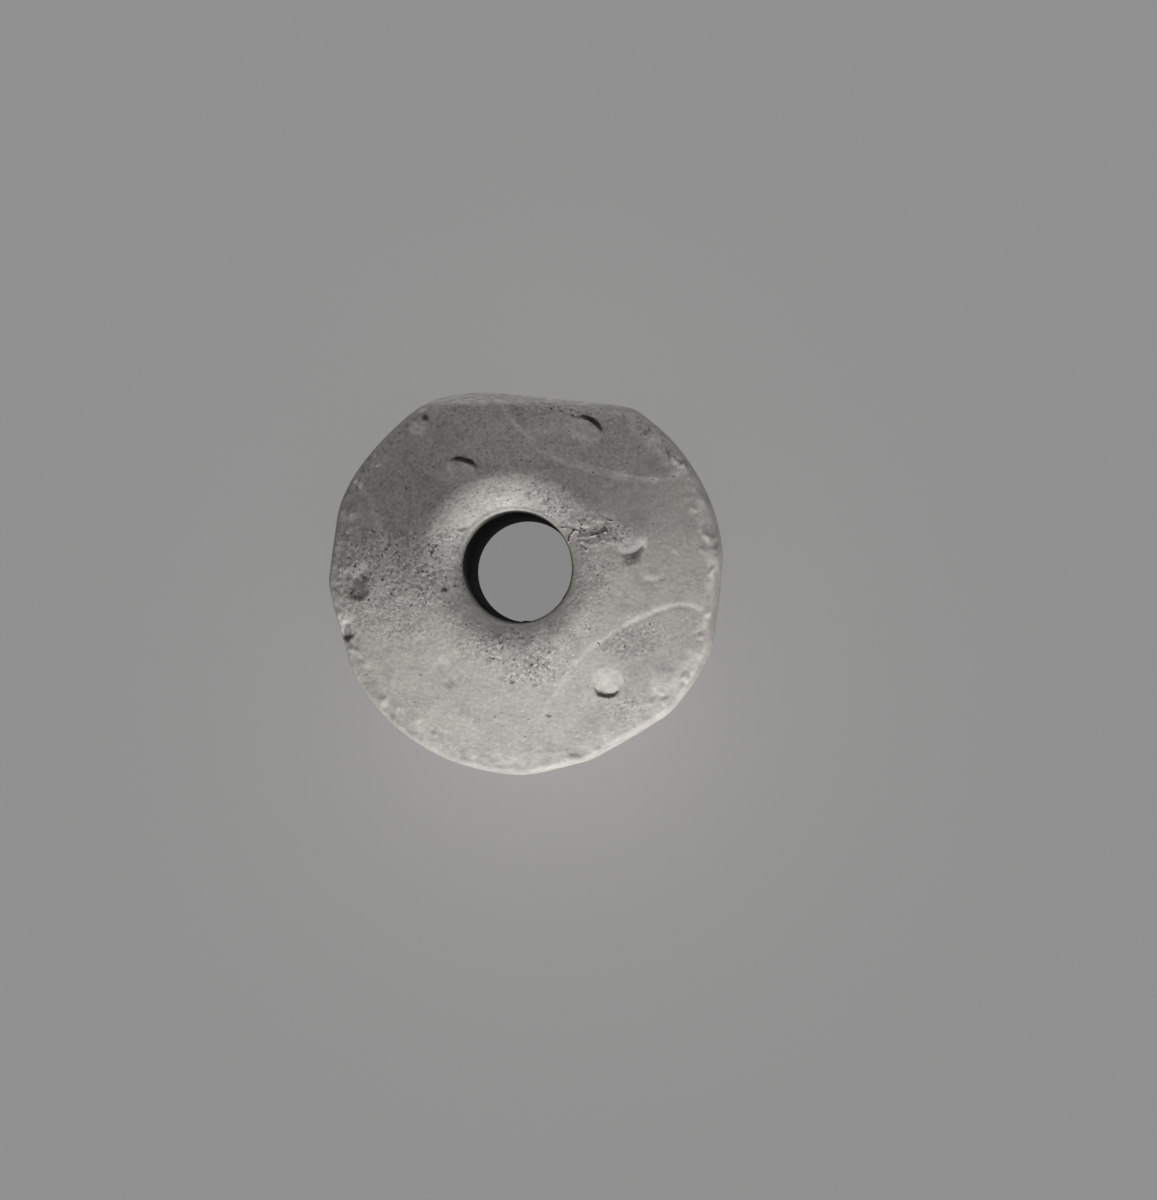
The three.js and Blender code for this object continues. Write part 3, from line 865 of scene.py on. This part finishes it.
def lime_and_highlight(points, mesh):
    """Where lime or wear makes the clay pale, with painted highlight on some lit stab and knock walls
    and painted light on the bore ring's lit side: spots, the ring round the bore, the arcs, the wide
    flat, the shoulder and the flaked layers' edges."""
    ring = ring_round_bore(points, LIMY_RING)
    # Paler towards the side where the dish faces the key light: painted light
    ring = ring * (LIMY_RING_STRENGTH + LIMY_RING_LIT_SIDE * facing(points, LIMY_RING_LIT_BEARING))
    arcs = 1 - smoothstep(*ARC_LIME_FADE, read(mesh, "arc_gap"))
    arcs = arcs * read(mesh, "arc_clear") * ARC_LIME
    ragged = cloud(points, 0.8, seed=16, octaves=4)
    flat = smoothstep(12.0, 15.0, points[:, 2] + 2 * ragged) * smoothstep(14.6, 15.4, points[:, 1])
    flat = flat * (0.7 + 0.5 * ragged)
    shoulder = SHOULDER_LIME + SHOULDER_PALE_EXTRA * facing(points, SHOULDER_PALE_BEARING)
    shoulder = shoulder + SHOULDER_PATCHES * cloud(points, 1.2, seed=14, octaves=4)
    shoulder = shoulder * near_crease(points) * (points[:, 2] > GIRTH_HEIGHT)
    return np.maximum.reduce([marked(points, PALE_AND_LIT_PLACES), ring, arcs, flat, shoulder,
                              flake_edge(points) * FLAKE_EDGE_LIME])


def painted_bore_shade(points):
    """Painted shade on the bore wall, lighter on the upper wall at one side as painted light."""
    wall = 1 - smoothstep(*BORE_SHADE_EDGE, past_wall(points))
    lit_side = np.clip(2 * facing(points, LIT_WALL_BEARING) - 1, 0, 1) ** 1.5
    upper = 1 - smoothstep(*LIT_WALL_DEPTHS, HEIGHT - points[:, 2])
    return wall * (1 - LIT_WALL_SHARE * lit_side * upper)


def mark_surface(mesh):
    """Store where the clay is rough or cracked, pale (lime and painted highlight), dark (soiling and
    painted shade), and where the bore has painted shade, for its material.
    """
    points = points_of(mesh)
    pale, grime_and_shadow = stab_marks(points)
    # Darker along the shoulder crease on the -y side
    darker_crease = near_crease(points) * smoothstep(-8, -15, points[:, 1]) * CREASE_DARKENING
    # Painted shade on the bore wall, lighter on one upper side as painted light
    store(mesh, "bore", painted_bore_shade(points))
    store(mesh, "rough", crumbly(points))
    store(mesh, "lime_and_highlight", np.maximum(lime_and_highlight(points, mesh), pale) * (1 - grime_and_shadow))
    store(mesh, "dirt_and_shade", np.maximum.reduce([marked(points, DARK_AND_SHADED_PLACES), grime_and_shadow, darker_crease]))
    store(mesh, "crack_gap", crack_gap(points))


def move_to_frame(mesh):
    mesh.transform(Matrix.Translation((-MIDDLE[0] * MM, -MIDDLE[1] * MM, 0)) @ Matrix.Scale(MM, 4))
    mesh.update()


# Finishes


def new_finish(name):
    finish = bpy.data.materials.new(name)
    finish.use_nodes = True
    tree = finish.node_tree
    tree.nodes.clear()
    shader = tree.nodes.new("ShaderNodeBsdfPrincipled")
    output = tree.nodes.new("ShaderNodeOutputMaterial")
    tree.links.new(shader.outputs[0], output.inputs["Surface"])
    return finish, tree, shader


def mixed(tree, amount, first, second):
    """One colour laid over another."""
    node = add(tree, "ShaderNodeMix", {"data_type": "RGBA"}, i0=amount, i6=first, i7=second)
    return node.outputs[2]


def graded(tree, value, low, high, start=0.0, end=1.0):
    """Map a value from one range to another, held at its ends."""
    node = add(tree, "ShaderNodeMapRange", {"interpolation_type": "SMOOTHSTEP"}, Value=value,
               From_Min=low, From_Max=high, To_Min=start, To_Max=end)
    return node.outputs[0]


def grain(tree, coordinates, size, detail):
    """A noise with features of the given size in millimetres."""
    return add(tree, "ShaderNodeTexNoise", Vector=coordinates, Scale=1 / (size * MM),
               Detail=detail).outputs["Fac"]


def around_axis(tree, where):
    """Coordinates that draw a pattern out along the way round the upright axis."""
    x, y, z = add(tree, "ShaderNodeSeparateXYZ", i0=where).outputs
    flat = add(tree, "ShaderNodeCombineXYZ", X=x, Y=y)
    away = add(tree, "ShaderNodeVectorMath", {"operation": "LENGTH"}, i0=flat.outputs[0])
    heading = add(tree, "ShaderNodeVectorMath", {"operation": "NORMALIZE"}, i0=flat.outputs[0])
    turned = add(tree, "ShaderNodeSeparateXYZ", i0=heading.outputs[0]).outputs
    outward = sum_of(tree, "MULTIPLY_ADD", z, STROKE_STEEPNESS, away.outputs["Value"])
    return add(tree, "ShaderNodeCombineXYZ", X=outward, Y=times(tree, turned[0], STROKE_REACH * MM),
               Z=times(tree, turned[1], STROKE_REACH * MM)).outputs[0]


def attribute(tree, name):
    node = tree.nodes.new("ShaderNodeAttribute")
    node.attribute_name = name
    return node.outputs["Fac"]


# Colours of the clay and of what lies on it, and of painted shade and painted highlight
CLAY = (0.275, 0.262, 0.245, 1)
CLAY_WARM = (0.315, 0.298, 0.272, 1)
CLAY_SMOKED = (0.19, 0.183, 0.174, 1)
# Pale for lime and worn clay, and for painted highlight on the lit walls of stabs and knocks
LIME_AND_HIGHLIGHT = (0.55, 0.535, 0.505, 1)
# Near black for dark specks, soiling and cracks, and for painted shade in small pits and on stab and
# knock walls
DARK_MARKS_AND_SHADE = (0.018, 0.017, 0.016, 1)
# Painted shade on the bore wall
BORE_SHADE = (0.005, 0.0048, 0.0045, 1)

# Burnishing strokes: how fast they change down the sides, and how far round they are spread
STROKE_STEEPNESS = 1.7
STROKE_REACH = 2.2

# Gloss of the clay where it is burnished and where it is worn, and depth of its fine relief
BURNISHED_ROUGHNESS = 0.6
WORN_ROUGHNESS = 1.0
CLAY_SHEEN = 0.3
RELIEF_DEPTH = 0.09


def fired_clay():
    """Burnished clay: each grain's numbers are its size in millimetres and its detail, and each
    graded's are the range that it takes and the range that it gives."""
    finish, tree, shader = new_finish("burnished_fired_clay")
    where = tree.nodes.new("ShaderNodeTexCoord").outputs["Object"]
    elsewhere = add(tree, "ShaderNodeMapping", Vector=where, Location=(0.011, 0.007, 0.003)).outputs[0]
    rough, pale_amount, dirt_and_shade, bore = (attribute(tree, name) for name in ("rough", "lime_and_highlight", "dirt_and_shade", "bore"))

    drift = grain(tree, where, 7.0, 2.0)
    mottle = grain(tree, where, 1.4, 5.0)
    fine = grain(tree, where, 0.4, 4.0)
    strokes = grain(tree, around_axis(tree, where), 0.42, 3.0)
    grit = grain(tree, where, 0.32, 3.0)
    crumbs = grain(tree, where, 0.7, 5.0)
    tooth = grain(tree, where, 0.27, 2.0)
    holes = grain(tree, elsewhere, 0.3, 3.0)
    specks = grain(tree, elsewhere, 0.3, 1.0)
    pale_crumbs = grain(tree, elsewhere, 0.34, 3.0)

    toothed = graded(tree, rough, 0.0, 0.3, 0.25, 1.0)
    patches = graded(tree, crumbs, 0.36, 0.6, 0.3, 1.0)
    gritty = times(tree, graded(tree, rough, 0.0, 0.8, 0.1, 1.0), patches)
    hole = graded(tree, sum_of(tree, "MULTIPLY_ADD", rough, 0.11, holes), 0.69, 0.76)
    crack = graded(tree, attribute(tree, "crack_gap"), 0.02, 0.09, 0.9, 0.0)

    # Layers on the clay, lowest first: how much of each shows, and its colour
    layers = [
        (graded(tree, mottle, 0.5, 0.7, 0.0, 0.4), CLAY_SMOKED),
        (graded(tree, fine, 0.48, 0.7, 0.0, 0.3), CLAY_SMOKED),
        (graded(tree, fine, 0.46, 0.3, 0.0, 0.15), LIME_AND_HIGHLIGHT),
        (graded(tree, strokes, 0.52, 0.7, 0.0, 0.35), CLAY_SMOKED),
        (times(tree, toothed, graded(tree, tooth, 0.5, 0.66, 0.0, 0.24)), DARK_MARKS_AND_SHADE),
        (times(tree, toothed, graded(tree, tooth, 0.5, 0.34, 0.0, 0.16)), LIME_AND_HIGHLIGHT),
        # Lime, with painted highlight on lit walls and on the bore ring's lit side
        (times(tree, pale_amount, graded(tree, mottle, 0.35, 0.65, 1.0, 0.5)), LIME_AND_HIGHLIGHT),
        (times(tree, rough, graded(tree, crumbs, 0.5, 0.62, 0.0, 0.8)), CLAY_SMOKED),
        (times(tree, gritty, graded(tree, grit, 0.48, 0.66, 0.0, 0.38)), DARK_MARKS_AND_SHADE),
        (times(tree, gritty, graded(tree, pale_crumbs, 0.49, 0.66, 0.0, 0.65)), LIME_AND_HIGHLIGHT),
        # Small pits drawn dark: painted shade
        (times(tree, hole, 0.75), DARK_MARKS_AND_SHADE),
        (graded(tree, specks, 0.27, 0.23, 0.0, 0.7), LIME_AND_HIGHLIGHT),
        # Soiling and painted shade on stab and knock walls, and darkening along the shoulder crease on
        # the -y side
        (times(tree, dirt_and_shade, graded(tree, fine, 0.3, 0.6, 0.75, 1.0)), DARK_MARKS_AND_SHADE),
        (crack, DARK_MARKS_AND_SHADE),
        # Painted shade on the bore wall
        (bore, BORE_SHADE),
    ]
    colour = mixed(tree, graded(tree, drift, 0.35, 0.68), CLAY, CLAY_WARM)
    for amount, laid_on in layers:
        colour = mixed(tree, amount, colour, laid_on)
    tree.links.new(colour, shader.inputs["Base Color"])

    worn = sum_of(tree, "MAXIMUM", sum_of(tree, "MAXIMUM", rough, pale_amount), bore)
    roughness = graded(tree, worn, 0.0, 1.0, BURNISHED_ROUGHNESS, WORN_ROUGHNESS)
    tree.links.new(roughness, shader.inputs["Roughness"])
    shader.inputs["Specular IOR Level"].default_value = CLAY_SHEEN

    # Fine relief: each pattern, and its share of the depth
    relief = times(tree, fine, 0.5)
    for pattern, share in (
        (times(tree, toothed, tooth), -0.3),
        (mottle, 0.4),
        (strokes, 0.15),
        (times(tree, rough, crumbs), -0.4),
        (times(tree, gritty, grit), -0.35),
        (hole, -0.5),
        (crack, -1.0),
    ):
        relief = sum_of(tree, "MULTIPLY_ADD", pattern, share, relief)
    bump = add(tree, "ShaderNodeBump", Height=relief, Distance=RELIEF_DEPTH * MM, Strength=1.0)
    tree.links.new(bump.outputs[0], shader.inputs["Normal"])
    return finish


FLOOR_COLOUR = (0.6, 0.6, 0.595, 1)
FLOOR_ROUGHNESS = 0.95
FLOOR_SHEEN = 0.1


def pale_floor():
    finish, _, shader = new_finish("pale_matt_floor")
    shader.inputs["Base Color"].default_value = FLOOR_COLOUR
    shader.inputs["Roughness"].default_value = FLOOR_ROUGHNESS
    shader.inputs["Specular IOR Level"].default_value = FLOOR_SHEEN
    return finish


# Whorl

SHARP_ANGLE = 50


def make_whorl(clay):
    mesh = plain_skin(clay)
    press_stabs(mesh)
    roughen(mesh)
    mark_surface(mesh)
    move_to_frame(mesh)
    mesh.materials.clear()
    mesh.materials.append(clay)
    whorl = place(mesh, "whorl_clay")
    mesh.set_sharp_from_angle(angle=math.radians(SHARP_ANGLE))
    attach(whorl, "root")
    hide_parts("whorl")
    return whorl


# Studio

FLOOR_SIZE = 3.0
PHOTO_SIDE_MM = 106.56
CAMERA_DISTANCE = 400.0
CAMERA_LEAN = (3.6, -1.0)
OUTLINE_MIDDLE = (-0.13, -0.11, GIRTH_HEIGHT)
AIM_SHIFT = (4.8, -2.05, 0)
SENSOR_WIDTH = 36.0
CLIP_START = 0.01

# Lights: bearings and rises in degrees, distances, heights and sizes in metres
AIM_HEIGHT = 0.016
KEY_BEARING = -83
KEY_RISE = 12
KEY_DISTANCE = 0.5
KEY_SIZE = (0.65, 0.07)
KEY_WATTS = 6.4
FILL_BEARING = 74
FILL_RISE = 14
FILL_DISTANCE = 0.6
FILL_SIZE = (0.5, 0.1)
FILL_WATTS = 1.5
SKY_HEIGHT = 0.9
SKY_SIZE = (0.35, 0.35)
SKY_WATTS = 2.0
WASH_HEIGHT = 1.2
WASH_SIZE = (1.6, 1.6)
WASH_WATTS = 9.8
WORLD_GREY = (0.5, 0.5, 0.5, 1)
WORLD_STRENGTH = 0.06


def make_floor():
    mesh = bpy.data.meshes.new("floor")
    half = FLOOR_SIZE / 2
    corners = [(-half, -half, 0), (half, -half, 0), (half, half, 0), (-half, half, 0)]
    mesh.from_pydata(corners, [], [(0, 1, 2, 3)])
    mesh.materials.append(pale_floor())
    floor = place(mesh, "floor")
    return floor


def lit_only(name, things):
    group = bpy.data.collections.new(name)
    for thing in things:
        group.objects.link(thing)
    return group


def area_light(name, place_at, aim, size, watts, receivers, blockers=None):
    """A rectangular light on some things only, shaded by the blockers alone where they are given."""
    data = bpy.data.lights.new(name, "AREA")
    data.shape = "RECTANGLE"
    data.size, data.size_y = size
    data.energy = watts
    lamp = bpy.data.objects.new(name, data)
    bpy.context.scene.collection.objects.link(lamp)
    lamp.location = place_at
    lamp.rotation_euler = (Vector(aim) - Vector(place_at)).to_track_quat("-Z", "Y").to_euler()
    lamp.light_linking.receiver_collection = receivers
    if blockers:
        lamp.light_linking.blocker_collection = blockers


def around(bearing, rise, distance):
    """A place at a bearing and a rise in degrees, at a distance in metres from the lights' aim."""
    flat = distance * math.cos(math.radians(rise))
    return (flat * math.cos(math.radians(bearing)), flat * math.sin(math.radians(bearing)),
            distance * math.sin(math.radians(rise)) + AIM_HEIGHT)


def light_studio(whorl, floor):
    clay_things = lit_only("clay_lit", [whorl])
    floor_things = lit_only("floor_lit", [floor])
    aim = (0, 0, AIM_HEIGHT)
    key_place = around(KEY_BEARING, KEY_RISE, KEY_DISTANCE)
    fill_place = around(FILL_BEARING, FILL_RISE, FILL_DISTANCE)
    area_light("low_key", key_place, aim, KEY_SIZE, KEY_WATTS, clay_things)
    area_light("far_fill", fill_place, aim, FILL_SIZE, FILL_WATTS, clay_things)
    area_light("high_soft", (0, 0, SKY_HEIGHT), aim, SKY_SIZE, SKY_WATTS, clay_things)
    area_light("floor_wash", (0, 0, WASH_HEIGHT), (0, 0, 0), WASH_SIZE, WASH_WATTS, floor_things,
               floor_things)
    world = bpy.data.worlds.new("studio")
    world.use_nodes = True
    background = world.node_tree.nodes["Background"]
    background.inputs["Color"].default_value = WORLD_GREY
    background.inputs["Strength"].default_value = WORLD_STRENGTH
    bpy.context.scene.world = world


def make_camera():
    """The photograph's view: almost straight down, the whorl a little left of and above the middle."""
    data = bpy.data.cameras.new("camera")
    data.sensor_width = SENSOR_WIDTH
    data.lens = SENSOR_WIDTH * CAMERA_DISTANCE / PHOTO_SIDE_MM
    data.clip_start = CLIP_START
    camera = bpy.data.objects.new("camera", data)
    bpy.context.scene.collection.objects.link(camera)
    target = to_frame(*OUTLINE_MIDDLE)
    lean = Vector([math.tan(math.radians(angle)) for angle in CAMERA_LEAN] + [1]).normalized()
    spot = target + lean * CAMERA_DISTANCE * MM
    forward = (target + Vector(AIM_SHIFT) * MM - spot).normalized()
    right = forward.cross(Vector((0, 1, 0))).normalized()
    up = right.cross(forward)
    turn = Matrix((right, up, -forward)).transposed().to_4x4()
    camera.matrix_world = Matrix.Translation(spot) @ turn
    bpy.context.scene.camera = camera


bpy.context.scene.view_settings.view_transform = "Standard"
make_camera()
whorl = make_whorl(fired_clay())
floor = make_floor()
light_studio(whorl, floor)
